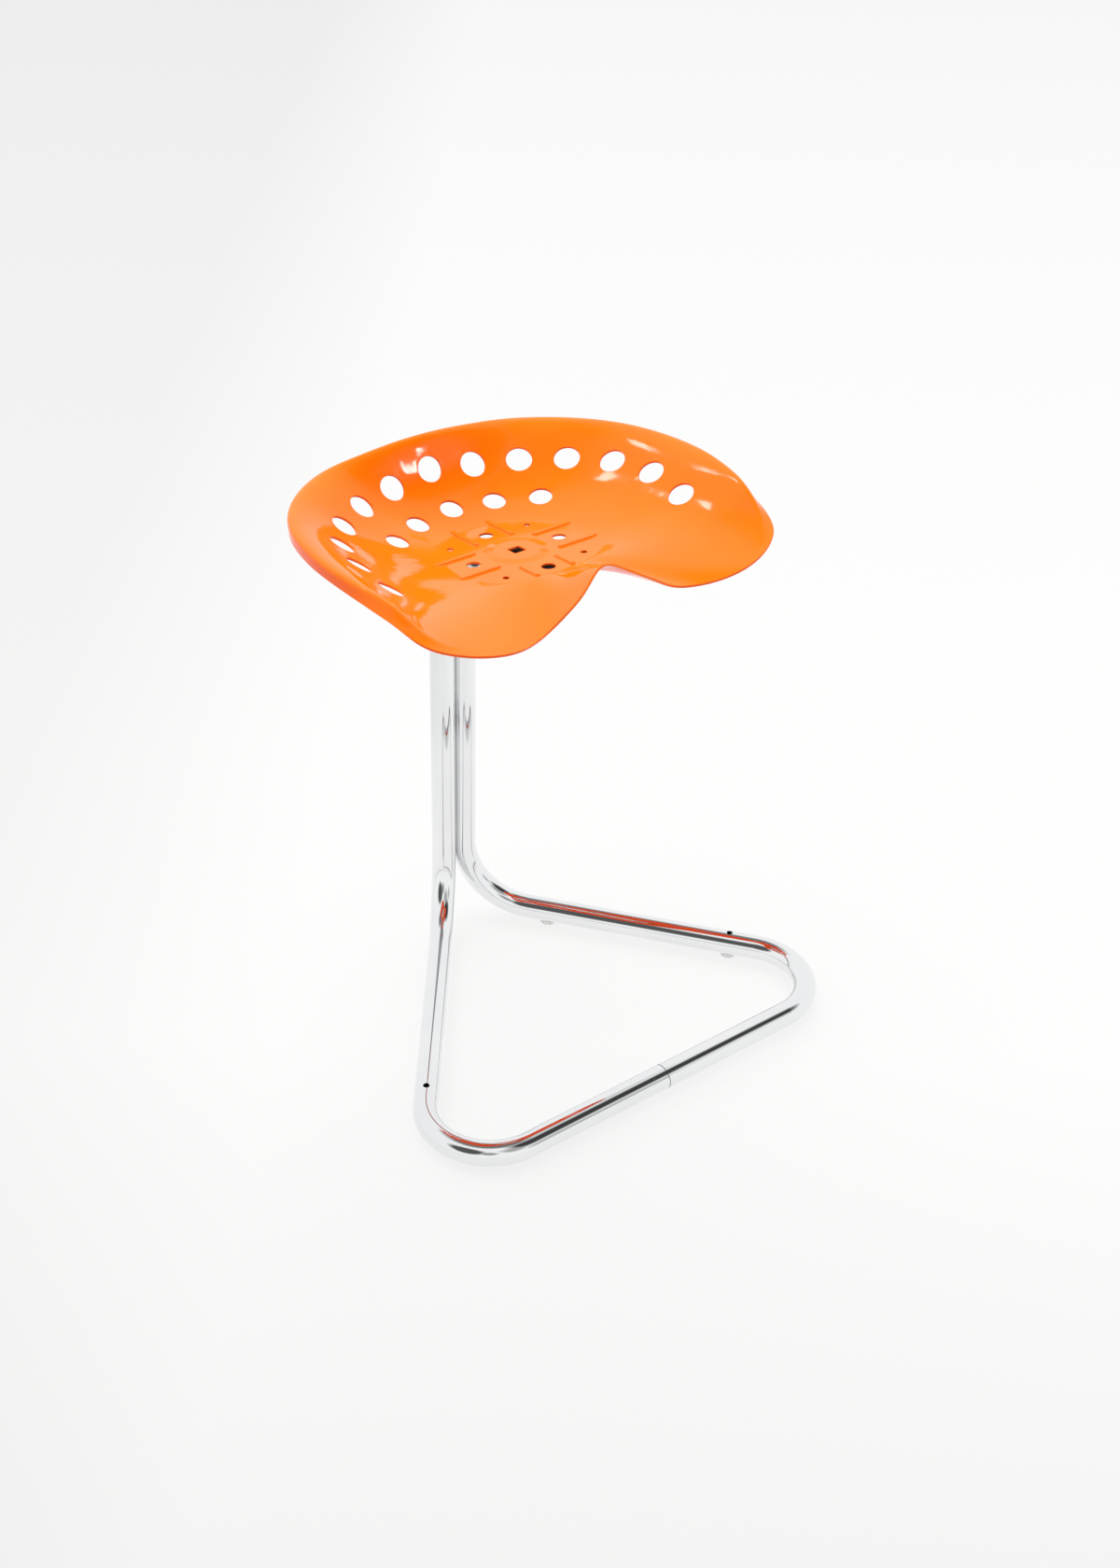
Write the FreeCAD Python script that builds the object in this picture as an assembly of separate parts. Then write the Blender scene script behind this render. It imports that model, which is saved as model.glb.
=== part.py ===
import FreeCAD, Part
import math
import os

# Tractor seat stool. A pressed steel seat pan stands on a cantilever frame of two bent
# chromed tubes. All lengths are in millimetres.
# Z is up, the floor is z = 0 and X = 0 is the plane of symmetry. The sitter faces -Y, so
# the sitter's left is +X. The origin lies on the floor, under the middle of the stool's depth.

# Frame tube
TUBE_DIAMETER = 25.0
TUBE_WALL = 1.5
UPRIGHT_GAP = 0.3
UPRIGHT_Y = 147.0

# Base
LEG_ANGLE = 37.8
BASE_DEPTH = 343.0
HEEL_BEND_RADIUS = 70.0
CORNER_BEND_RADIUS = 60.0
BUTT_GAP = 0.8

# Seat pan
SHEET = 2.0
SEAT_Y_FROM_UPRIGHT = -102.0
SEAT_HEIGHT = 468.0
SEAT_PITCH = 6.0
RIM_ROLL = 8.0
RIM_DROP = 12.0
ROLL_FADE_START = 94.0
FLANGE_FADE_START = 114.0
RIM_FADE_END = 134.0
RIDGE_STEP = 3.2
RIDGE_START = 112.0
RIDGE_END = 150.0

# Edge of the pan in its own frame: x, y and height above the pad. Half of the outline,
# from the middle of the back, round the side, to the bottom of the notch at the front.
RIM_OUTLINE = [
    (0.0, 155.5, 69.5),
    (55.0, 157.0, 66.0),
    (102.0, 155.0, 61.0),
    (144.0, 131.5, 58.5),
    (184.0, 83.0, 56.0),
    (203.0, 22.0, 52.5),
    (205.5, -43.0, 46.5),
    (199.0, -99.0, 36.0),
    (188.0, -136.0, 15.0),
    (165.0, -152.5, 3.0),
    (128.5, -160.0, -5.5),
    (98.5, -152.5, -11.0),
    (72.0, -140.0, -11.0),
    (38.0, -140.0, 9.0),
    (0.0, -128.0, 28.0),
]

# Radius of the flat pad at an angle from the middle of the back. At the front it is cut off
# nearly straight by the foot of the ridge.
PAD_OUTLINE = [
    (0.0, 68.0),
    (90.0, 68.0),
    (112.0, 70.0),
    (126.0, 74.5),
    (140.0, 72.5),
    (150.0, 69.0),
    (160.0, 65.8),
    (170.0, 64.2),
    (180.0, 63.6),
]

# The pan's wall part of the way up, at an angle from the middle of the back: share of the
# way from the pad to the edge, height above the pad there, and slope in degrees.
WALL = [
    (0.0, 0.82, 36.5, 54.0),
    (19.0, 0.77, 34.0, 50.0),
    (38.0, 0.67, 32.5, 42.0),
    (55.0, 0.67, 30.5, 35.0),
    (73.0, 0.69, 31.5, 35.0),
    (89.0, 0.70, 29.5, 34.0),
    (105.0, 0.70, 22.5, 30.0),
    (126.0, 0.65, 8.0, 6.0),
    (141.0, 0.70, -2.5, -4.0),
    (153.0, 0.70, -6.0, -10.0),
    (165.0, 0.70, 7.4, 4.0),
    (180.0, 0.70, 21.0, 21.0),
]
WALL_FOOT_EASE = 0.42
CREST_EASE = 0.4
AROUND = 96
FULL_TURN = 360.0

# Perforations
OUTER_HOLE = 25.0
OUTER_COUNT = 13
OUTER_PITCH = 45.7
OUTER_ROW_X = 161.5
OUTER_ROW_Y = 144.5
OUTER_ROW_SQUARENESS = 2.15
INNER_HOLE = 22.0
INNER_COUNT = 5
INNER_PITCH = 44.0
INNER_ROW_X = 117.0
INNER_ROW_Y = 112.0
INNER_ROW_SQUARENESS = 2.0
ROW_CENTRE_Y = -10.0

# Pressings and holes of the pad
BOLT_HOLE = 13.0
BOLT_CIRCLE_RADIUS = 47.6
SMALL_HOLE = 6.0
SMALL_HOLE_OFFSET = 43.0
SQUARE_HOLE = 12.5
DISC_RADIUS = 22.0
DISC_WALL = 8.0
DISC_RISE = 1.0
RIB_OFFSET = 19.5
RIB_WIDTH = 8.0
RIB_SLOPE = 2.2
RIB_HEIGHT = 1.8
RIB_INNER_END = 31.0
RIB_OUTER_END = 77.0
FRONT_RIB_OUTER_END = 61.0
DIMPLE_RADIUS = 9.0
DIMPLE_DEPTH = 0.6
DIMPLE_OFFSET = 18.5

# Seat fixing
ARM_TIP_Y = -62.0
ARM_BEND_RADIUS = 60.0
BAR_LENGTH_FRONT = 98.0
BAR_LENGTH_REAR = 78.0
BAR_WIDTH = 28.0
BAR_THICKNESS = 5.0
BAR_FRONT_Y = -43.0
BAR_REAR_Y = 26.0
BAR_CORNER = 4.0
WELD_LEG = 3.0
WELD_OFFSET = 5.5
STUD_DIAMETER = 6.0
STUD_X = 32.0
STUD_HEAD_DIAMETER = 9.0
STUD_HEAD = 1.0
STUD_CLEARANCE = 0.3
ISOLATOR_THICKNESS = 1.5
ISOLATOR_DIAMETER = 16.0
WASHER_DIAMETER = 12.0
WASHER_THICKNESS = 1.6
NUT_ACROSS_FLATS = 10.0
NUT_HEIGHT = 5.0
STUD_PAST_NUT = 2.0

# Tube ends, joint and glides
PLUG_FLANGE = 3.0
PLUG_DEPTH = 18.0
PLUG_FIT = 0.1
SPIGOT_LENGTH = 80.0
SPIGOT_WALL = 2.0
SPIGOT_FIT = 0.15
SCREW_X = 22.0
SCREW_DIAMETER = 4.0
SCREW_HEAD_DIAMETER = 7.5
GLIDE_DROP = 2.0
GLIDE_DIAMETER = 16.0
GLIDE_RISE = 4.0
GLIDE_STEM_DIAMETER = 6.0
GLIDE_STEM_LENGTH = 9.0
GLIDE_FIT = 0.1
LEFT_GLIDE_FROM_BEND = 27.6
RIGHT_GLIDE_FROM_BEND = 14.6
REAR_GLIDE_FROM_BEND = 22.0

# Places that follow from the sizes above
TUBE_RADIUS = TUBE_DIAMETER / 2
TUBE_BORE_RADIUS = TUBE_RADIUS - TUBE_WALL
AXIS_Z = GLIDE_DROP + TUBE_RADIUS
UPRIGHT_X = TUBE_RADIUS + UPRIGHT_GAP / 2
FRONT_Y = UPRIGHT_Y - BASE_DEPTH
LEG_REACH = BASE_DEPTH / math.cos(math.radians(LEG_ANGLE))
CORNER_TANGENT = CORNER_BEND_RADIUS / math.tan(math.radians(90 - LEG_ANGLE) / 2)
LEFT_GLIDE_DISTANCE = LEG_REACH - CORNER_TANGENT - LEFT_GLIDE_FROM_BEND
RIGHT_GLIDE_DISTANCE = LEG_REACH - CORNER_TANGENT - RIGHT_GLIDE_FROM_BEND
REAR_GLIDE_DISTANCE = HEEL_BEND_RADIUS + REAR_GLIDE_FROM_BEND
UP = FreeCAD.Vector(0, 0, 1)
SEAT_PLACE = FreeCAD.Placement(
    FreeCAD.Vector(0, UPRIGHT_Y + SEAT_Y_FROM_UPRIGHT, SEAT_HEIGHT),
    FreeCAD.Rotation(FreeCAD.Vector(1, 0, 0), -SEAT_PITCH),
)
BAR_TOP = -SHEET - ISOLATOR_THICKNESS
BAR_BOTTOM = BAR_TOP - BAR_THICKNESS
ARM_AXIS = BAR_BOTTOM - TUBE_RADIUS


def vector(x, y, z):
    return FreeCAD.Vector(x, y, z)


def save(name, shape):
    """Write one piece, or one group of like pieces, as parts/NAME.step."""
    shape.exportStep("parts/" + name + ".step")


def cylinder(radius, height, base, direction=UP):
    return Part.makeCylinder(radius, height, base, direction)


def seat_solids(solids):
    """Turn solids built on the pad's plane into their place under the sitter."""
    placed = Part.makeCompound(solids) if len(solids) > 1 else solids[0]
    return placed.transformed(SEAT_PLACE.toMatrix())


# Seat pan

def turn_from_back(angle):
    """The angle as 0 at the middle of the back, growing either way to a half turn at the front."""
    return abs((angle + FULL_TURN / 2) % FULL_TURN - FULL_TURN / 2)


def around_at(table, angle):
    """The values of a table of half the pan at an angle, by a cubic through its rows."""
    before = (-table[1][0],) + table[1][1:]
    after = (FULL_TURN - table[-2][0],) + table[-2][1:]
    rows = [before] + table + [after]
    angle = turn_from_back(angle)
    i = 1
    while rows[i + 1][0] < angle and i < len(rows) - 3:
        i += 1
    a, b, c, d = rows[i - 1:i + 3]
    span = c[0] - b[0]
    s = (angle - b[0]) / span
    values = []
    for k in range(1, len(b)):
        slope_b = (c[k] - a[k]) / (c[0] - a[0]) * span
        slope_c = (d[k] - b[k]) / (d[0] - b[0]) * span
        values.append(cubic(s, b[k], slope_b, c[k], slope_c))
    return values


def cubic(s, first, first_slope, last, last_slope):
    return (
        (2 * s**3 - 3 * s**2 + 1) * first
        + (s**3 - 2 * s**2 + s) * first_slope
        + (3 * s**2 - 2 * s**3) * last
        + (s**3 - s**2) * last_slope
    )


def outline_at(angle):
    """Radius and height of the pan's edge."""
    table = [(math.degrees(math.atan2(x, y)), math.hypot(x, y), z) for x, y, z in RIM_OUTLINE]
    return around_at(table, angle)


def smooth(value, low, high):
    s = min(1.0, max(0.0, (value - low) / (high - low)))
    return s * s * (3 - 2 * s)


def profile(angle):
    """Poles of the pan's upper surface from the pad to the edge: radius and height."""
    turn = turn_from_back(angle)
    edge_radius, edge_height = outline_at(angle)
    wall_share, wall_height, wall_angle = around_at(WALL, angle)
    rolled = 1.0 - smooth(turn, ROLL_FADE_START, RIM_FADE_END)
    flanged = 1.0 - smooth(turn, FLANGE_FADE_START, RIM_FADE_END)
    pad_radius = around_at(PAD_OUTLINE, angle)[0]
    step = RIDGE_STEP * smooth(turn, RIDGE_START, RIDGE_END)
    start = pad_radius + 3.0
    crest_radius = edge_radius - RIM_ROLL * rolled
    wall_radius = start + (crest_radius - start) * wall_share
    wall_slope = math.tan(math.radians(wall_angle))
    foot_slope = (wall_height - step) / (wall_radius - start) * WALL_FOOT_EASE
    crest_slope = (edge_height - wall_height) / (crest_radius - wall_radius)
    crest_slope *= 1.0 - rolled * (1.0 - CREST_EASE)

    def bowl(radius):
        if radius < wall_radius:
            run = wall_radius - start
            s = (radius - start) / run
            return cubic(s, step, foot_slope * run, wall_height, wall_slope * run)
        run = crest_radius - wall_radius
        s = (radius - wall_radius) / run
        return cubic(s, wall_height, wall_slope * run, edge_height, crest_slope * run)

    poles = [(pad_radius, 0.0), (pad_radius + 0.8, 0.0), (pad_radius + 2.2, step)]
    for t in (0.06, 0.2, 0.36, 0.52, 0.66, 0.78, 0.89):
        radius = start + (crest_radius - start) * t
        poles.append((radius, bowl(radius)))
    # The rolled rim goes over its crest and down as a flange. Towards the front the roll
    # opens first, then the flange fades, until the sheet runs on plainly to its edge.
    plain_step = (edge_radius - poles[-1][0]) / 5
    rim = [
        (crest_radius, edge_height),
        (edge_radius, edge_height),
        (edge_radius, edge_height - RIM_DROP * 0.5),
        (edge_radius, edge_height - RIM_DROP * 0.75),
        (edge_radius, edge_height - RIM_DROP),
    ]
    for i, (radius, height) in enumerate(rim):
        plain_radius = edge_radius - plain_step * (4 - i)
        plain_height = bowl(plain_radius)
        poles.append((
            plain_radius + (radius - plain_radius) * rolled,
            plain_height + (height - plain_height) * flanged,
        ))
    return poles


def pan_poles():
    net = []
    for i in range(AROUND):
        angle = FULL_TURN * i / AROUND
        sine = math.sin(math.radians(angle))
        cosine = math.cos(math.radians(angle))
        net.append([vector(r * sine, r * cosine, z) for r, z in profile(angle)])
    return net


def lowered(net, depth):
    """The net moved by the sheet's thickness along its own normals."""
    result = []
    for i, row in enumerate(net):
        new_row = []
        for j, point in enumerate(row):
            if j < 2:
                new_row.append(point - UP * depth)
                continue
            along = row[min(j + 1, len(row) - 1)] - row[j - 1]
            around = net[(i + 1) % len(net)][j] - net[i - 1][j]
            normal = around.cross(along)
            normal.normalize()
            if j < len(row) - 5 and normal.z < 0:
                normal = normal * -1
            new_row.append(point - normal * depth)
        result.append(new_row)
    return result


def pan_surface(net):
    surface = Part.BSplineSurface()
    rows = len(net)
    columns = len(net[0])
    ends = columns - 3
    surface.buildFromPolesMultsKnots(
        net,
        [1] * (rows + 1),
        [4] + [1] * (ends - 1) + [4],
        [float(k) for k in range(rows + 1)],
        [float(k) for k in range(ends + 1)],
        True,
        False,
        3,
        3,
    )
    return surface


def end_edge(surface, last):
    low, high = surface.bounds()[2:]
    return surface.vIso(high if last else low).toShape()


def pan_sheet():
    top = pan_surface(pan_poles())
    bottom = pan_surface(lowered(pan_poles(), SHEET))
    faces = [
        top.toShape(),
        bottom.toShape(),
        Part.Face(Part.Wire([end_edge(top, False)])),
        Part.Face(Part.Wire([end_edge(bottom, False)])),
        Part.makeRuledSurface(end_edge(top, True), end_edge(bottom, True)),
    ]
    shell = Part.makeShell(faces)
    shell.sewShape()
    return Part.Solid(shell), top


def perforation_row(semi_x, semi_y, squareness, pitch, count):
    """Points at equal pitch along a rounded oval on the pad's plane, from the middle of the back."""
    points = []
    angle = 0.0
    walked = 0.0
    x, y = 0.0, semi_y
    for k in range(count // 2 + 1):
        while walked < pitch * k:
            angle += 0.001
            next_x = semi_x * math.sin(angle)**(2 / squareness)
            next_y = math.copysign(semi_y * abs(math.cos(angle))**(2 / squareness), math.cos(angle))
            walked += math.hypot(next_x - x, next_y - y)
            x, y = next_x, next_y
        points.append((x, ROW_CENTRE_Y + y))
        if k:
            points.append((-x, ROW_CENTRE_Y + y))
    return points


def perforation(top, x, y, diameter):
    """A punch through the sheet at x, y, square to the sheet there."""
    line = Part.makeLine(vector(x, y, -50), vector(x, y, 150))
    met = line.distToShape(top.toShape())[1]
    point = met[0][0]
    normal = top.normal(*top.parameter(point))
    if normal.z < 0:
        normal = normal * -1
    reach = 4 * SHEET
    return cylinder(diameter / 2, 2 * reach, point - normal * reach, normal)


def rib_outline(width, inner_end, outer_end, height):
    """Slot along +X with round ends, on the plane at the given height."""
    r = width / 2
    x1 = inner_end + r
    x2 = outer_end - r
    edges = [
        Part.makeLine(vector(x1, r, height), vector(x2, r, height)),
        Part.Arc(vector(x2, r, height), vector(x2 + r, 0, height), vector(x2, -r, height)).toShape(),
        Part.makeLine(vector(x2, -r, height), vector(x1, -r, height)),
        Part.Arc(vector(x1, -r, height), vector(x1 - r, 0, height), vector(x1, r, height)).toShape(),
    ]
    return Part.Wire(edges)


def rib(outer_end, inset, low, high):
    """Pressed rib with sloping walls, narrowed all round by the inset."""
    foot = rib_outline(RIB_WIDTH - 2 * inset, RIB_INNER_END + inset, outer_end - inset, low)
    crown_inset = inset + RIB_SLOPE
    crown = rib_outline(
        RIB_WIDTH - 2 * crown_inset,
        RIB_INNER_END + crown_inset,
        outer_end - crown_inset,
        high,
    )
    return Part.makeLoft([foot, crown], True, True)


def ribs(inset, low, high):
    """Two ribs beside each of the four bolt holes. The front pair stops at the ridge."""
    shapes = []
    for quarter, outer_end in enumerate([RIB_OUTER_END] * 3 + [FRONT_RIB_OUTER_END]):
        for side in (-1, 1):
            shape = rib(outer_end, inset, low, high)
            shape.translate(vector(0, side * RIB_OFFSET, 0))
            shape.rotate(vector(0, 0, 0), UP, 90 * quarter)
            shapes.append(shape)
    return shapes


def disc(height):
    """Low raised disc in the middle of the pad, with a sloping edge."""
    return Part.makeCone(DISC_RADIUS + DISC_WALL, DISC_RADIUS, DISC_RISE, vector(0, 0, height))


def seat_pan():
    pan, top = pan_sheet()
    pan = pan.fuse(ribs(0.0, -SHEET / 2, RIB_HEIGHT) + [disc(0.0)])
    cuts = ribs(SHEET * 0.6, -SHEET - 0.01, RIB_HEIGHT - SHEET * 0.6)
    cuts.append(disc(-SHEET))
    for quarter in range(4):
        turn = FreeCAD.Rotation(UP, 90 * quarter)
        through = vector(0, 0, -10)
        bolt = turn.multVec(vector(BOLT_CIRCLE_RADIUS, 0, 0))
        small = turn.multVec(vector(SMALL_HOLE_OFFSET, SMALL_HOLE_OFFSET, 0))
        cuts.append(cylinder(BOLT_HOLE / 2, 30, bolt + through))
        cuts.append(cylinder(SMALL_HOLE / 2, 30, small + through))
    for side in (-1, 1):
        dimple = vector(side * DIMPLE_OFFSET, -side * DIMPLE_OFFSET, DIMPLE_RADIUS - DIMPLE_DEPTH)
        cuts.append(Part.makeSphere(DIMPLE_RADIUS, dimple))
    half = SQUARE_HOLE / 2
    cuts.append(Part.makeBox(SQUARE_HOLE, SQUARE_HOLE, 30, vector(-half, -half, -10)))
    outer_row = perforation_row(
        OUTER_ROW_X, OUTER_ROW_Y, OUTER_ROW_SQUARENESS, OUTER_PITCH, OUTER_COUNT,
    )
    inner_row = perforation_row(
        INNER_ROW_X, INNER_ROW_Y, INNER_ROW_SQUARENESS, INNER_PITCH, INNER_COUNT,
    )
    for x, y in outer_row:
        cuts.append(perforation(top, x, y, OUTER_HOLE))
    for x, y in inner_row:
        cuts.append(perforation(top, x, y, INNER_HOLE))
    pan = pan.cut(cuts)
    return pan


# Frame tubes

def bent_path(corners, radii):
    """Wire through the corners, each inner one rounded by its bend radius."""
    edges = []
    start = corners[0]
    for i, radius in enumerate(radii, 1):
        back = (corners[i - 1] - corners[i]).normalize()
        ahead = (corners[i + 1] - corners[i]).normalize()
        half_angle = back.getAngle(ahead) / 2
        tangent = radius / math.tan(half_angle)
        inward = (back + ahead).normalize()
        first = corners[i] + back * tangent
        last = corners[i] + ahead * tangent
        middle = corners[i] + inward * (radius / math.sin(half_angle) - radius)
        edges.append(Part.makeLine(start, first))
        edges.append(Part.Arc(first, middle, last).toShape())
        start = last
    edges.append(Part.makeLine(start, corners[-1]))
    return Part.Wire(edges)


def leg_direction(side):
    a = math.radians(LEG_ANGLE)
    return vector(side * math.sin(a), -math.cos(a), 0)


def arm_point(side, y):
    """Point of the arm's axis, at y of the pan's own frame, in its place."""
    return SEAT_PLACE.multVec(vector(side * UPRIGHT_X, y, ARM_AXIS))


def frame_corners(side):
    tip = arm_point(side, ARM_TIP_Y)
    other = arm_point(side, 0.0)
    slope = (other.z - tip.z) / (other.y - tip.y)
    top = vector(side * UPRIGHT_X, UPRIGHT_Y, tip.z + slope * (UPRIGHT_Y - tip.y))
    heel = vector(side * UPRIGHT_X, UPRIGHT_Y, AXIS_Z)
    corner = heel + leg_direction(side) * LEG_REACH
    middle = vector(side * BUTT_GAP / 2, FRONT_Y, AXIS_Z)
    return [tip, top, heel, corner, middle]


def swept(path, radius):
    start = path.OrderedVertexes[0].Point
    ahead = path.OrderedEdges[0].tangentAt(path.OrderedEdges[0].FirstParameter)
    circle = Part.Face(Part.Wire([Part.makeCircle(radius, start, ahead)]))
    return path.makePipe(circle)


def front_glide_distance(side):
    return LEFT_GLIDE_DISTANCE if side > 0 else RIGHT_GLIDE_DISTANCE


def glide_point(side, distance):
    heel = vector(side * UPRIGHT_X, UPRIGHT_Y, 0)
    return heel + leg_direction(side) * distance


def frame_tube(side):
    corners = frame_corners(side)
    path = bent_path(corners, [ARM_BEND_RADIUS, HEEL_BEND_RADIUS, CORNER_BEND_RADIUS])
    tube = swept(path, TUBE_RADIUS).cut(swept(path, TUBE_BORE_RADIUS))
    front = glide_point(side, front_glide_distance(side))
    rear = glide_point(side, REAR_GLIDE_DISTANCE)
    stem_hole = GLIDE_STEM_DIAMETER / 2 + GLIDE_FIT
    screw = vector(side * SCREW_X, FRONT_Y, 0)
    holes = [
        cylinder(stem_hole, 2 * AXIS_Z, front),
        cylinder(stem_hole, AXIS_Z, rear),
        cylinder(SCREW_DIAMETER / 2, AXIS_Z, screw),
        screw_head(side, 0.05),
    ]
    return tube.cut(holes)


def end_plug(side):
    """Cap with a flange over the arm's front end and a ribbed stem inside it."""
    tip = arm_point(side, ARM_TIP_Y)
    inward = (arm_point(side, 0.0) - tip).normalize()
    flange = cylinder(TUBE_RADIUS, PLUG_FLANGE, tip - inward * PLUG_FLANGE, inward)
    flange = flange.makeFillet(1.5, [outer_rim(flange, tip - inward * PLUG_FLANGE)])
    stem = cylinder(TUBE_BORE_RADIUS - 1.0, PLUG_DEPTH, tip, inward)
    plug = flange.fuse(stem)
    for k in range(3):
        base = tip + inward * (3.0 + 5.0 * k)
        plug = plug.fuse(cylinder(TUBE_BORE_RADIUS - PLUG_FIT, 1.5, base, inward))
    return plug.cut(cylinder(TUBE_BORE_RADIUS - 3.0, PLUG_DEPTH, tip, inward))


def outer_rim(solid, centre):
    """The circular edge about the given centre."""
    edges = [e for e in solid.Edges if hasattr(e.Curve, "Radius")]
    return min(edges, key=lambda e: (e.Curve.Center - centre).Length)


def joint_spigot():
    radius = TUBE_BORE_RADIUS - SPIGOT_FIT
    start = vector(-SPIGOT_LENGTH / 2, FRONT_Y, AXIS_Z)
    along = vector(1, 0, 0)
    spigot = cylinder(radius, SPIGOT_LENGTH, start, along)
    spigot = spigot.cut(cylinder(radius - SPIGOT_WALL, SPIGOT_LENGTH, start, along))
    for side in (-1, 1):
        hole = cylinder(SCREW_DIAMETER / 2, AXIS_Z, vector(side * SCREW_X, FRONT_Y, 0))
        spigot = spigot.cut(hole)
    return spigot


def screw_head(side, extra):
    """Countersunk cone whose flat face lies just inside the tube's lowest line."""
    depth = (SCREW_HEAD_DIAMETER - SCREW_DIAMETER) / 2
    sunk = 0.6
    base = vector(side * SCREW_X, FRONT_Y, GLIDE_DROP + sunk)
    wide = SCREW_HEAD_DIAMETER / 2 + extra
    cone = Part.makeCone(wide, SCREW_DIAMETER / 2, depth, base)
    if extra:
        cone = cone.fuse(cylinder(wide, sunk + 1.0, base - UP * (sunk + 1.0)))
    return cone


def joint_screws():
    screws = []
    for side in (-1, 1):
        base = vector(side * SCREW_X, FRONT_Y, GLIDE_DROP + 1.0)
        shank = cylinder(SCREW_DIAMETER / 2, TUBE_WALL + SPIGOT_WALL + 3.0, base)
        screw = screw_head(side, 0.0).fuse(shank)
        drive = Part.makeBox(
            SCREW_HEAD_DIAMETER,
            0.9,
            1.0,
            vector(side * SCREW_X - SCREW_HEAD_DIAMETER / 2, FRONT_Y - 0.45, GLIDE_DROP),
        )
        screws.append(screw.cut(drive))
    return Part.makeCompound(screws)


def glide(side, distance):
    """Nylon glide: a round saddle under the tube, held by a stem in the tube's wall."""
    foot = glide_point(side, distance)
    saddle = cylinder(GLIDE_DIAMETER / 2, GLIDE_DROP + GLIDE_RISE, foot)
    saddle = saddle.makeFillet(0.8, [outer_rim(saddle, foot)])
    along = leg_direction(side)
    clear = foot + UP * AXIS_Z - along * GLIDE_DIAMETER
    saddle = saddle.cut(cylinder(TUBE_RADIUS, 2 * GLIDE_DIAMETER, clear, along))
    radius = GLIDE_STEM_DIAMETER / 2
    stem = cylinder(radius, GLIDE_STEM_LENGTH, foot)
    tip = foot + UP * GLIDE_STEM_LENGTH
    barb = Part.makeCone(radius + 0.7, radius - 1.0, 3.0, tip)
    return saddle.fuse([stem, barb])


# Seat fixing

def studs():
    return [(side * STUD_X, y) for y in (BAR_FRONT_Y, BAR_REAR_Y) for side in (-1, 1)]


def ring(outer, inner, low, high, x, y):
    disc = cylinder(outer, high - low, vector(x, y, low))
    return disc.cut(cylinder(inner, high - low, vector(x, y, low)))


def cross_bar(length, y):
    """Flat bar over both arms, with its weld beads along their outer sides."""
    front_y = y - BAR_WIDTH / 2
    corner = vector(-length / 2, front_y, BAR_BOTTOM)
    box = Part.makeBox(length, BAR_WIDTH, BAR_THICKNESS, corner)
    corners = [e for e in box.Edges if abs(e.tangentAt(0).z) > 0.9]
    bar = box.makeFillet(BAR_CORNER, corners)
    hole_radius = STUD_DIAMETER / 2 + STUD_CLEARANCE
    along = vector(0, 1, 0)
    cuts = []
    for side in (-1, 1):
        cuts.append(cylinder(hole_radius, BAR_THICKNESS, vector(side * STUD_X, y, BAR_BOTTOM)))
        bead_x = side * (UPRIGHT_X + WELD_OFFSET)
        bar = bar.fuse(cylinder(WELD_LEG, BAR_WIDTH, vector(bead_x, front_y, BAR_BOTTOM), along))
        arm_start = vector(side * UPRIGHT_X, front_y - BAR_WIDTH, ARM_AXIS)
        cuts.append(cylinder(TUBE_RADIUS, 3 * BAR_WIDTH, arm_start, along))
    return bar.cut(cuts)


def seat_studs():
    solids = []
    length = ISOLATOR_THICKNESS + BAR_THICKNESS + WASHER_THICKNESS + NUT_HEIGHT + STUD_PAST_NUT
    for x, y in studs():
        head = cylinder(STUD_HEAD_DIAMETER / 2, STUD_HEAD, vector(x, y, -SHEET - STUD_HEAD))
        shank = cylinder(STUD_DIAMETER / 2, length, vector(x, y, -SHEET - length))
        solids.append(head.fuse(shank))
    return seat_solids(solids)


def seat_isolators():
    solids = []
    bore = STUD_DIAMETER / 2 + STUD_CLEARANCE
    recess_radius = STUD_HEAD_DIAMETER / 2 + STUD_CLEARANCE
    recess_depth = STUD_HEAD + 0.1
    for x, y in studs():
        disc = ring(ISOLATOR_DIAMETER / 2, bore, BAR_TOP, -SHEET, x, y)
        recess = cylinder(recess_radius, recess_depth, vector(x, y, -SHEET - recess_depth))
        solids.append(disc.cut(recess))
    return seat_solids(solids)


def seat_washers():
    low = BAR_BOTTOM - WASHER_THICKNESS
    inner = STUD_DIAMETER / 2 + STUD_CLEARANCE
    return seat_solids([ring(WASHER_DIAMETER / 2, inner, low, BAR_BOTTOM, x, y) for x, y in studs()])


def hexagon(across_flats, low, height, x, y):
    radius = across_flats / math.sqrt(3)
    corners = []
    for k in range(7):
        a = math.radians(60 * k)
        corners.append(vector(x + radius * math.cos(a), y + radius * math.sin(a), low))
    prism = Part.Face(Part.makePolygon(corners)).extrude(UP * height)
    return prism


def seat_nuts():
    solids = []
    high = BAR_BOTTOM - WASHER_THICKNESS
    for x, y in studs():
        nut = hexagon(NUT_ACROSS_FLATS, high - NUT_HEIGHT, NUT_HEIGHT, x, y)
        blunt = Part.makeCone(
            NUT_ACROSS_FLATS / 2,
            NUT_ACROSS_FLATS / 2 + 2 * NUT_HEIGHT,
            NUT_HEIGHT,
            vector(x, y, high - NUT_HEIGHT),
        )
        nut = nut.common(blunt)
        solids.append(nut.cut(cylinder(STUD_DIAMETER / 2, NUT_HEIGHT, vector(x, y, high - NUT_HEIGHT))))
    return seat_solids(solids)


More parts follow.
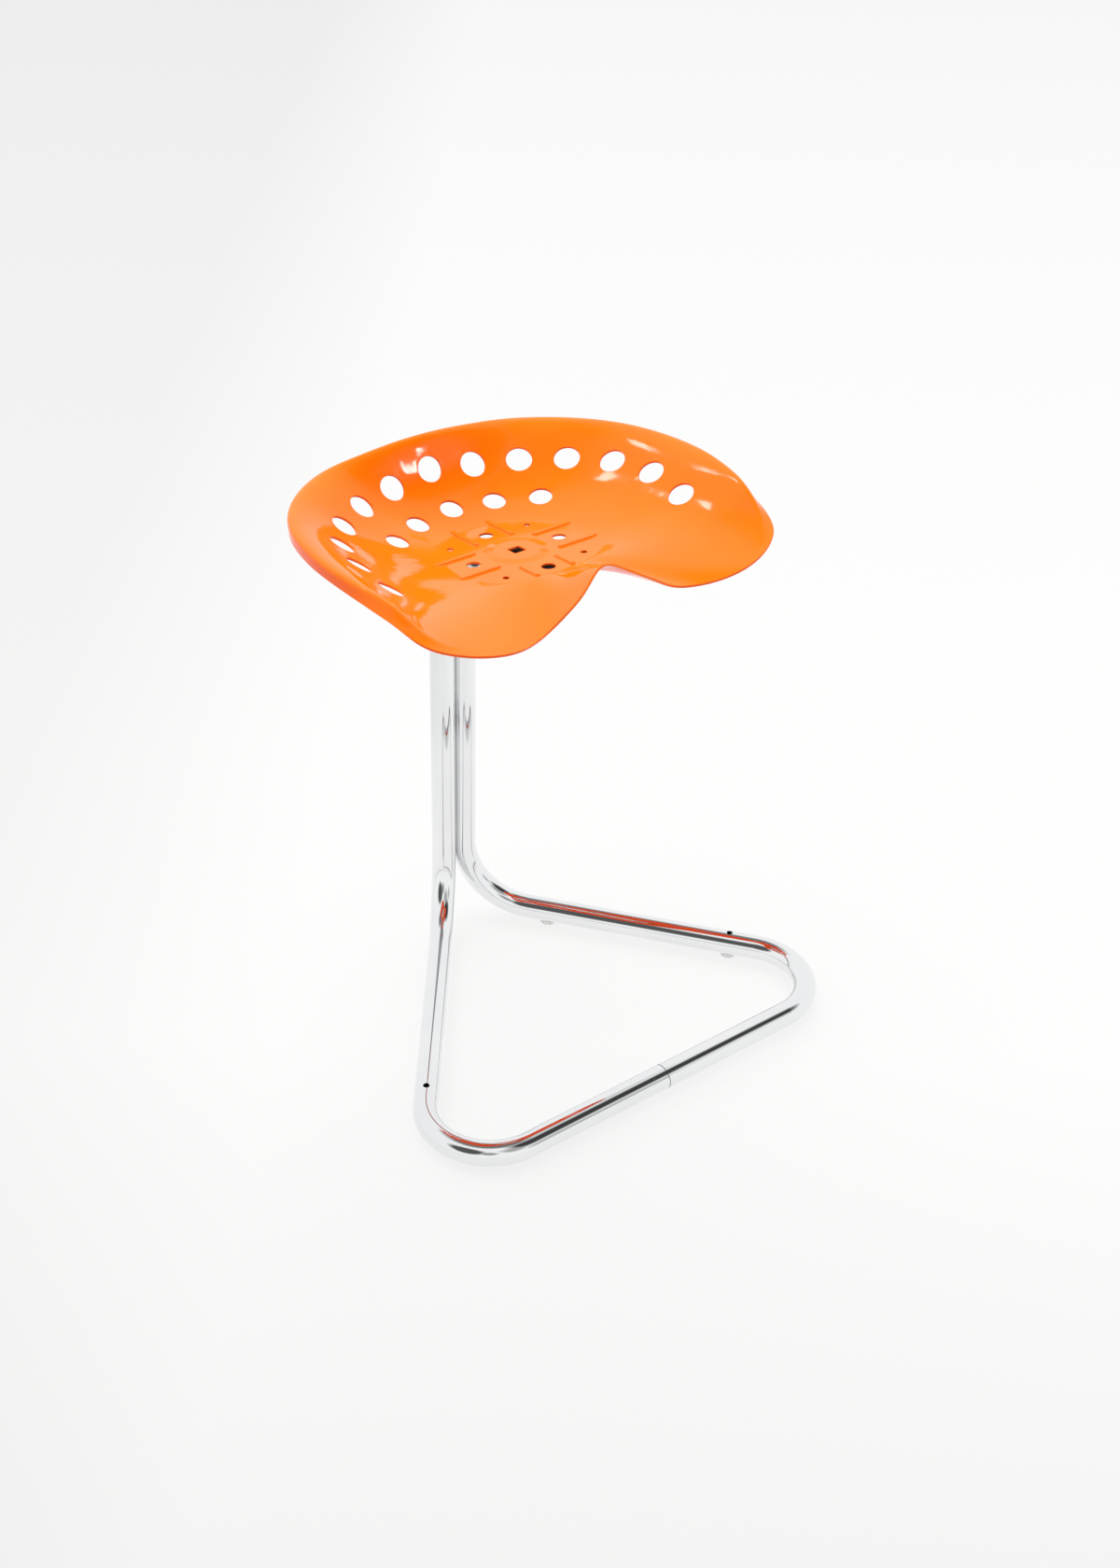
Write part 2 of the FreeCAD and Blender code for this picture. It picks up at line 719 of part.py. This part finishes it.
if __name__ == "__main__":
    os.makedirs("parts", exist_ok=True)
    save("seat_pan", seat_solids([seat_pan()]))
    save("seat_studs", seat_studs())
    save("seat_isolators", seat_isolators())
    save("front_cross_bar", seat_solids([cross_bar(BAR_LENGTH_FRONT, BAR_FRONT_Y)]))
    save("rear_cross_bar", seat_solids([cross_bar(BAR_LENGTH_REAR, BAR_REAR_Y)]))
    save("seat_washers", seat_washers())
    save("seat_nuts", seat_nuts())
    for name, side in (("left", 1), ("right", -1)):
        save(name + "_tube", frame_tube(side))
        save(name + "_arm_plug", end_plug(side))
        save(name + "_front_glide", glide(side, front_glide_distance(side)))
        save(name + "_rear_glide", glide(side, REAR_GLIDE_DISTANCE))
    save("joint_spigot", joint_spigot())
    save("joint_screws", joint_screws())
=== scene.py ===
import bmesh
import bpy
import math
from mathutils import Matrix, Vector

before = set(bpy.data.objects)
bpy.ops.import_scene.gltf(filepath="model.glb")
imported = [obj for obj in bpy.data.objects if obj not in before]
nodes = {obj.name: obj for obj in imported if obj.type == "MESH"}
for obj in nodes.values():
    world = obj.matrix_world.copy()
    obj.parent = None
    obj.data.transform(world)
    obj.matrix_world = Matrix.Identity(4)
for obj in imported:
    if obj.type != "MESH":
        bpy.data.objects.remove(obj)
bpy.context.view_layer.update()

# Lengths are metres, angles degrees. An azimuth runs from -Y, the sitter's front, towards +X.
# A level is a brightness, where 1 is white.

# Camera of the photograph
CAMERA_PLACE = Vector((-1.0110, -1.3164, 1.3549))
CAMERA_AZIMUTH = -38.11
CAMERA_ELEVATION = 33.88
CAMERA_ROLL = 1.61
CAMERA_LENS = 68.0  # mm
SENSOR_WIDTH = 36.0  # mm
CAMERA_REACH = 60.0

# Studio: the plain backdrop, the lit walls and unlit parts that gloss shows, and the soft dome
# and broad key light that fall on matt surfaces
BACKDROP_LEVEL = 0.93
WALL_LEVEL = 1.15
UNLIT_LEVEL = 0.06
DOME_LOW = 0.62
DOME_HIGH = 0.82
KEY_LEVEL = 3.0
KEY_AZIMUTH = 165.0
KEY_ELEVATION = 58.0
KEY_EDGE, KEY_CORE = 0.70, 0.90  # cosines of the angle from the middle of the key light
# Unlit parts: azimuth, elevation, radius of the dark core and of its edge, and how dark it is
UNLIT_PARTS = [
    (45.0, 56.0, 13.0, 25.0, 1.0),
    (5.0, 48.0, 8.0, 20.0, 0.6),
    (150.0, 78.0, 15.0, 26.0, 0.85),
    (-72.0, 40.0, 16.0, 25.0, 0.95),
    (-38.0, 36.0, 6.0, 14.0, 0.7),
    (28.0, 24.0, 4.0, 12.0, 0.5),
]

# Soft boxes that light the seat alone: azimuth, elevation, width, height, power in watts
SEAT_CENTRE = Vector((0.0, 0.045, 0.47))
LAMP_DISTANCE = 2.2
SEAT_LAMPS = {
    "front_box": (36.0, 33.0, 0.12, 0.14, 2.5),
    "front_small": (24.0, 33.0, 0.05, 0.10, 0.9),
    "rear_box": (180.0, 54.0, 0.16, 0.12, 1.4),
}

# Floor: its even light as it is seen, how much brighter gloss shows it, and how pale it is
# where it is seen and where it throws light back on the stool
FLOOR_HALF = 14.0
FLOOR_LEVEL = 0.83
FLOOR_IN_GLOSS = 1.2
FLOOR_TINT = (1.0, 1.0, 0.995, 1.0)
FLOOR_SEEN = (0.10, 0.10, 0.10)
FLOOR_BOUNCE = (0.70, 0.70, 0.70)
# Slow fall of that light: azimuth along which it runs, its two ends, and the share left at each
FLOOR_FADES = [
    (141.9, -1.0, -0.1, 0.84, 1.0),
    (141.9, 0.4, 4.0, 1.0, 0.92),
    (51.9, -0.62, -0.25, 0.89, 1.0),
]

# Enamel of the pan: two close oranges, and a darker, redder one that is painted shade on faces
# that look down or sideways, such as the underside and edges
ENAMEL_DEEP = (0.93, 0.156, 0.0008)
ENAMEL_LIGHT = (0.96, 0.174, 0.0012)
ENAMEL_PAINTED_SHADE = (0.78, 0.068, 0.008)
SHADE_FULL_BELOW, SHADE_GONE_ABOVE = -0.25, 0.45  # upward part of the normal, below which the painted shade is full and above which it is gone
ENAMEL_POLISHED, ENAMEL_RUBBED = 0.05, 0.11  # roughness
RUBBING_STARTS, RUBBING_FULL = 0.35, 0.75  # of the noise
ENAMEL_GLOSS = 0.20
ENAMEL_IOR = 1.5
PEEL_HEIGHT = 0.0002
SHEET_EDGE_RADIUS = 0.0016
EDGE_SAMPLES = 6

# Chrome: its two greys, the pits, the polishing lines and the waves of the drawn tube
CHROME_DARK = (0.70, 0.71, 0.72)
CHROME_LIGHT = (0.74, 0.745, 0.75)
PIT_COLOUR = (0.95, 0.95, 0.94)
PITS_PER_METRE = 240.0
PIT_CORE, PIT_EDGE = 0.04, 0.12  # share of the space between pits
PITS_START, PITS_FULL = 0.60, 0.66  # of the noise
PIT_ROUGHNESS = 0.45
CHROME_POLISHED, CHROME_SCUFFED = 0.018, 0.05  # roughness
SCUFFING_STARTS, SCUFFING_FULL = 0.3, 0.8  # of the noise
LINES_PER_METRE = (900.0, 900.0, 60.0)  # across X, Y and Z
WAVE_HEIGHT = 0.0004

# Small parts: mottle of the colour, and grain of the surface and its roughness
MOTTLE_SCALE = 160.0
GRAIN_SCALE = 480.0
GRAIN_HEIGHT = 0.0002
GRAIN_SMOOTH, GRAIN_ROUGH = 0.8, 1.3  # times the finish's own roughness

# Noise mostly lies between these two values
NOISE_LOW, NOISE_HIGH = 0.3, 0.7

# Colour sockets of the Mix node
MIX_FIRST, MIX_SECOND, MIX_RESULT = 6, 7, 2


# Node helpers

def new_material(name):
    """Empty node material with a Principled shader on its output."""
    material = bpy.data.materials.new(name)
    material.use_nodes = True
    tree = material.node_tree
    tree.nodes.clear()
    output = tree.nodes.new("ShaderNodeOutputMaterial")
    shader = tree.nodes.new("ShaderNodeBsdfPrincipled")
    tree.links.new(shader.outputs["BSDF"], output.inputs["Surface"])
    return material, tree, shader


def object_point(tree):
    """The surface's own place, in metres."""
    return tree.nodes.new("ShaderNodeTexCoord").outputs["Object"]


def noise(tree, point, scale, detail=4.0, roughness=0.5):
    """Cloudy noise with so many clouds in a metre."""
    node = tree.nodes.new("ShaderNodeTexNoise")
    node.inputs["Scale"].default_value = scale
    node.inputs["Detail"].default_value = detail
    node.inputs["Roughness"].default_value = roughness
    tree.links.new(point, node.inputs["Vector"])
    return node.outputs["Fac"]


def stretched(tree, point, scale):
    """The point with each axis scaled, for marks longer one way than the other."""
    node = tree.nodes.new("ShaderNodeMapping")
    node.inputs["Scale"].default_value = scale
    tree.links.new(point, node.inputs["Vector"])
    return node.outputs["Vector"]


def mottled(tree, value, dark, light):
    """Colour that follows the noise from dark to light."""
    node = tree.nodes.new("ShaderNodeValToRGB")
    stops = ((NOISE_LOW, dark), (NOISE_HIGH, light))
    for element, (position, colour) in zip(node.color_ramp.elements, stops):
        element.position = position
        element.color = (*colour, 1.0)
    tree.links.new(value, node.inputs["Fac"])
    return node.outputs["Color"]


def ranged(tree, value, low, high, to_low, to_high):
    """The value moved from one range to another, and kept inside it."""
    node = tree.nodes.new("ShaderNodeMapRange")
    node.inputs["From Min"].default_value = low
    node.inputs["From Max"].default_value = high
    node.inputs["To Min"].default_value = to_low
    node.inputs["To Max"].default_value = to_high
    tree.links.new(value, node.inputs["Value"])
    return node.outputs["Result"]


def math_node(tree, operation, first, second):
    """One sum on two sockets or numbers."""
    node = tree.nodes.new("ShaderNodeMath")
    node.operation = operation
    for socket, value in zip(node.inputs, (first, second)):
        if isinstance(value, float):
            socket.default_value = value
        else:
            tree.links.new(value, socket)
    return node.outputs["Value"]


def mixed(tree, factor, first, second):
    """Colour mix of two sockets or colours."""
    node = tree.nodes.new("ShaderNodeMix")
    node.data_type = "RGBA"
    tree.links.new(factor, node.inputs["Factor"])
    for index, value in ((MIX_FIRST, first), (MIX_SECOND, second)):
        if isinstance(value, tuple):
            node.inputs[index].default_value = (*value, 1.0)
        else:
            tree.links.new(value, node.inputs[index])
    return node.outputs[MIX_RESULT]


def height_of(tree, vector):
    """The Z part of a vector."""
    node = tree.nodes.new("ShaderNodeSeparateXYZ")
    tree.links.new(vector, node.inputs["Vector"])
    return node.outputs["Z"]


def facing(tree, vector, towards):
    """How far a vector reaches one way: the cosine between them, if both are of length 1."""
    node = tree.nodes.new("ShaderNodeVectorMath")
    node.operation = "DOT_PRODUCT"
    node.inputs[1].default_value = towards
    tree.links.new(vector, node.inputs[0])
    return node.outputs["Value"]


def bumped(tree, shader, height, strength, distance, normal=None):
    """Fine relief on the shader, over the given normal where there is one."""
    node = tree.nodes.new("ShaderNodeBump")
    if normal is not None:
        tree.links.new(normal, node.inputs["Normal"])
    node.inputs["Strength"].default_value = strength
    node.inputs["Distance"].default_value = distance
    tree.links.new(height, node.inputs["Height"])
    tree.links.new(node.outputs["Normal"], shader.inputs["Normal"])


def softened_edges(tree, radius):
    """Normal that rounds the sharp edges of the sheet."""
    node = tree.nodes.new("ShaderNodeBevel")
    node.samples = EDGE_SAMPLES
    node.inputs["Radius"].default_value = radius
    return node.outputs["Normal"]


# Materials of the stool

def orange_enamel():
    """Glossy stoved enamel on the pressed pan, with fine rubbing and a faint orange peel."""
    material, tree, shader = new_material("orange_enamel")
    point = object_point(tree)

    orange = mottled(tree, noise(tree, point, scale=9.0, detail=3.0), ENAMEL_DEEP, ENAMEL_LIGHT)
    # Painted shade: the orange turns darker and redder where the normal looks down or sideways,
    # standing in for the shade on the pan's underside and edges
    normal = tree.nodes.new("ShaderNodeNewGeometry").outputs["Normal"]
    unshaded = ranged(tree, height_of(tree, normal), SHADE_FULL_BELOW, SHADE_GONE_ABOVE, 0.0, 1.0)
    tree.links.new(mixed(tree, unshaded, ENAMEL_PAINTED_SHADE, orange), shader.inputs["Base Color"])

    rubbing = noise(tree, point, scale=55.0, detail=5.0, roughness=0.6)
    worn = ranged(
        tree, rubbing, RUBBING_STARTS, RUBBING_FULL, ENAMEL_POLISHED, ENAMEL_RUBBED)
    tree.links.new(worn, shader.inputs["Roughness"])
    shader.inputs["IOR"].default_value = ENAMEL_IOR
    shader.inputs["Specular IOR Level"].default_value = ENAMEL_GLOSS

    peel = noise(tree, point, scale=420.0, detail=2.0)
    edges = softened_edges(tree, SHEET_EDGE_RADIUS)
    bumped(tree, shader, peel, strength=0.05, distance=PEEL_HEIGHT, normal=edges)
    return material


def chromed_tube():
    """Bright chrome over drawn tube: sparse pits, and fine polishing lines in the gloss."""
    material, tree, shader = new_material("chromed_tube")
    point = object_point(tree)
    shader.inputs["Metallic"].default_value = 1.0

    clean = mottled(tree, noise(tree, point, scale=14.0, detail=3.0), CHROME_DARK, CHROME_LIGHT)
    cells = tree.nodes.new("ShaderNodeTexVoronoi")
    cells.inputs["Scale"].default_value = PITS_PER_METRE
    tree.links.new(point, cells.inputs["Vector"])
    pit = ranged(tree, cells.outputs["Distance"], PIT_CORE, PIT_EDGE, 1.0, 0.0)
    cloud = noise(tree, point, scale=60.0, detail=2.0)
    patches = ranged(tree, cloud, PITS_START, PITS_FULL, 0.0, 1.0)
    pitted = math_node(tree, "MULTIPLY", pit, patches)
    tree.links.new(mixed(tree, pitted, clean, PIT_COLOUR), shader.inputs["Base Color"])

    lines = noise(tree, stretched(tree, point, LINES_PER_METRE), scale=1.0, detail=3.0)
    polish = ranged(
        tree, lines, SCUFFING_STARTS, SCUFFING_FULL, CHROME_POLISHED, CHROME_SCUFFED)
    dull = math_node(tree, "MULTIPLY", pitted, PIT_ROUGHNESS)
    tree.links.new(math_node(tree, "MAXIMUM", polish, dull), shader.inputs["Roughness"])

    waves = noise(tree, point, scale=38.0, detail=2.0)
    bumped(tree, shader, waves, strength=0.03, distance=WAVE_HEIGHT)
    return material


def plain_finish(name, dark, light, roughness, metallic=0.0, see_through=0.0):
    """Finish of a small part: mottled colour, and a grain in the roughness and the surface."""
    material, tree, shader = new_material(name)
    point = object_point(tree)
    mottle = noise(tree, point, MOTTLE_SCALE, detail=5.0, roughness=0.6)
    tree.links.new(mottled(tree, mottle, dark, light), shader.inputs["Base Color"])
    shader.inputs["Metallic"].default_value = metallic
    shader.inputs["Transmission Weight"].default_value = see_through
    grain = noise(tree, point, GRAIN_SCALE, detail=3.0)
    smoothest, roughest = roughness * GRAIN_SMOOTH, roughness * GRAIN_ROUGH
    spread = ranged(tree, grain, NOISE_LOW, NOISE_HIGH, smoothest, roughest)
    tree.links.new(spread, shader.inputs["Roughness"])
    bumped(tree, shader, grain, strength=0.15, distance=GRAIN_HEIGHT)
    return material


def dress(material, *names):
    """Give the material to every slot of the named nodes."""
    for name in names:
        for slot in nodes[name].material_slots:
            slot.material = material


# Studio

def direction(azimuth, elevation):
    """Unit vector at this azimuth, and so far up from the floor."""
    a, e = math.radians(azimuth), math.radians(elevation)
    return Vector((math.sin(a) * math.cos(e), -math.cos(a) * math.cos(e), math.sin(e)))


def cosine(degrees):
    """Cosine of an angle in degrees."""
    return math.cos(math.radians(degrees))


def unlit_level(depth):
    """Level of a part of the walls that is so dark, from 0, lit, to 1, unlit."""
    return WALL_LEVEL + (UNLIT_LEVEL - WALL_LEVEL) * depth


def studio_world():
    """A plain backdrop for the camera, walls with unlit parts for gloss, and soft light."""
    world = bpy.data.worlds.new("studio")
    world.use_nodes = True
    bpy.context.scene.world = world
    tree = world.node_tree
    tree.nodes.clear()
    output = tree.nodes.new("ShaderNodeOutputWorld")
    background = tree.nodes.new("ShaderNodeBackground")
    tree.links.new(background.outputs["Background"], output.inputs["Surface"])
    way = tree.nodes.new("ShaderNodeTexCoord").outputs["Generated"]

    walls = None
    for azimuth, elevation, core, edge, depth in UNLIT_PARTS:
        near = facing(tree, way, direction(azimuth, elevation))
        part = ranged(tree, near, cosine(edge), cosine(core), WALL_LEVEL, unlit_level(depth))
        walls = part if walls is None else math_node(tree, "MINIMUM", walls, part)

    dome = ranged(tree, height_of(tree, way), 0.0, 1.0, DOME_LOW, DOME_HIGH)
    key_way = facing(tree, way, direction(KEY_AZIMUTH, KEY_ELEVATION))
    key = ranged(tree, key_way, KEY_EDGE, KEY_CORE, 0.0, KEY_LEVEL)
    soft_light = math_node(tree, "ADD", dome, key)

    rays = tree.nodes.new("ShaderNodeLightPath")
    unseen = mixed(tree, rays.outputs["Is Glossy Ray"], soft_light, walls)
    backdrop = (BACKDROP_LEVEL, BACKDROP_LEVEL, BACKDROP_LEVEL)
    colour = mixed(tree, rays.outputs["Is Camera Ray"], unseen, backdrop)
    tree.links.new(colour, background.inputs["Color"])
    background.inputs["Strength"].default_value = 1.0


def floor_paint():
    """Matt floor: dark paint with an even light of its own where it is seen, so that it shows
    pale with a soft shadow, and plain pale paint where it lights the stool."""
    material, tree, shader = new_material("floor_paint")
    shader.inputs["Roughness"].default_value = 1.0
    shader.inputs["Specular IOR Level"].default_value = 0.0
    rays = tree.nodes.new("ShaderNodeLightPath")
    in_gloss = rays.outputs["Is Glossy Ray"]
    seen = math_node(tree, "MAXIMUM", rays.outputs["Is Camera Ray"], in_gloss)
    paint = mixed(tree, seen, FLOOR_BOUNCE, FLOOR_SEEN)
    tree.links.new(paint, shader.inputs["Base Color"])

    place = object_point(tree)
    level = ranged(tree, in_gloss, 0.0, 1.0, FLOOR_LEVEL, FLOOR_LEVEL * FLOOR_IN_GLOSS)
    for azimuth, start, end, start_share, end_share in FLOOR_FADES:
        along = facing(tree, place, direction(azimuth, 0.0))
        fade = ranged(tree, along, start, end, start_share, end_share)
        level = math_node(tree, "MULTIPLY", level, fade)
    shader.inputs["Emission Color"].default_value = FLOOR_TINT
    tree.links.new(math_node(tree, "MULTIPLY", seen, level), shader.inputs["Emission Strength"])
    return material


def pale_floor():
    """Seamless square floor under the stool."""
    shape = bmesh.new()
    bmesh.ops.create_grid(shape, x_segments=1, y_segments=1, size=FLOOR_HALF)
    mesh = bpy.data.meshes.new("floor")
    shape.to_mesh(mesh)
    shape.free()
    mesh.materials.append(floor_paint())
    floor = bpy.data.objects.new("floor", mesh)
    bpy.context.collection.objects.link(floor)


def seat_lamp(name, azimuth, elevation, width, height, power, lit):
    """Rectangular soft box that is aimed at the seat and lights one group of pieces."""
    data = bpy.data.lights.new(name, "AREA")
    data.shape = "RECTANGLE"
    data.size = width
    data.size_y = height
    data.energy = power
    light = bpy.data.objects.new(name, data)
    bpy.context.collection.objects.link(light)
    way = direction(azimuth, elevation)
    light.location = SEAT_CENTRE + way * LAMP_DISTANCE
    light.rotation_mode = "QUATERNION"
    light.rotation_quaternion = way.to_track_quat("Z", "Y")
    light.light_linking.receiver_collection = lit


def photo_camera():
    """Camera at the photograph's place, turned and rolled as it was."""
    back = direction(CAMERA_AZIMUTH, CAMERA_ELEVATION)
    level_right = direction(CAMERA_AZIMUTH + 90.0, 0.0)
    level_up = back.cross(level_right)
    c, s = math.cos(math.radians(CAMERA_ROLL)), math.sin(math.radians(CAMERA_ROLL))
    right = level_right * c + level_up * s
    up = level_up * c - level_right * s
    data = bpy.data.cameras.new("camera")
    data.sensor_fit = "HORIZONTAL"
    data.sensor_width = SENSOR_WIDTH
    data.lens = CAMERA_LENS
    data.clip_end = CAMERA_REACH
    camera = bpy.data.objects.new("camera", data)
    bpy.context.collection.objects.link(camera)
    turn = Matrix((right, up, back)).transposed().to_4x4()
    camera.matrix_world = Matrix.Translation(CAMERA_PLACE) @ turn
    bpy.context.scene.camera = camera


# The stool's finishes, from dark to light

zinc = plain_finish(
    "zinc_plated", (0.55, 0.56, 0.58), (0.70, 0.70, 0.69), roughness=0.30, metallic=1.0)
black_paint = plain_finish(
    "black_painted_bar", (0.012, 0.012, 0.013), (0.03, 0.03, 0.031), roughness=0.42)
plain_steel = plain_finish(
    "plain_steel", (0.30, 0.30, 0.31), (0.42, 0.42, 0.42), roughness=0.38, metallic=1.0)
rubber = plain_finish(
    "isolator_rubber", (0.012, 0.012, 0.012), (0.022, 0.022, 0.022), roughness=0.75)
plastic = plain_finish(
    "plug_plastic", (0.010, 0.010, 0.011), (0.02, 0.02, 0.02), roughness=0.45)
nylon = plain_finish(
    "glide_nylon", (0.84, 0.84, 0.82), (0.90, 0.90, 0.88), roughness=0.5, see_through=0.7)

dress(orange_enamel(), "seat_pan")
dress(chromed_tube(), "left_tube", "right_tube")
dress(zinc, "seat_studs", "seat_washers", "seat_nuts", "joint_screws")
dress(black_paint, "front_cross_bar", "rear_cross_bar")
dress(plain_steel, "joint_spigot")
dress(rubber, "seat_isolators")
dress(plastic, "left_arm_plug", "right_arm_plug")
dress(nylon, "left_front_glide", "left_rear_glide", "right_front_glide", "right_rear_glide")

# The studio and the camera

studio_world()
pale_floor()
lit_seat = bpy.data.collections.new("lit_seat")
lit_seat.objects.link(nodes["seat_pan"])
for lamp_name, lamp_values in SEAT_LAMPS.items():
    seat_lamp(lamp_name, *lamp_values, lit=lit_seat)
photo_camera()
bpy.context.scene.view_settings.view_transform = "Standard"
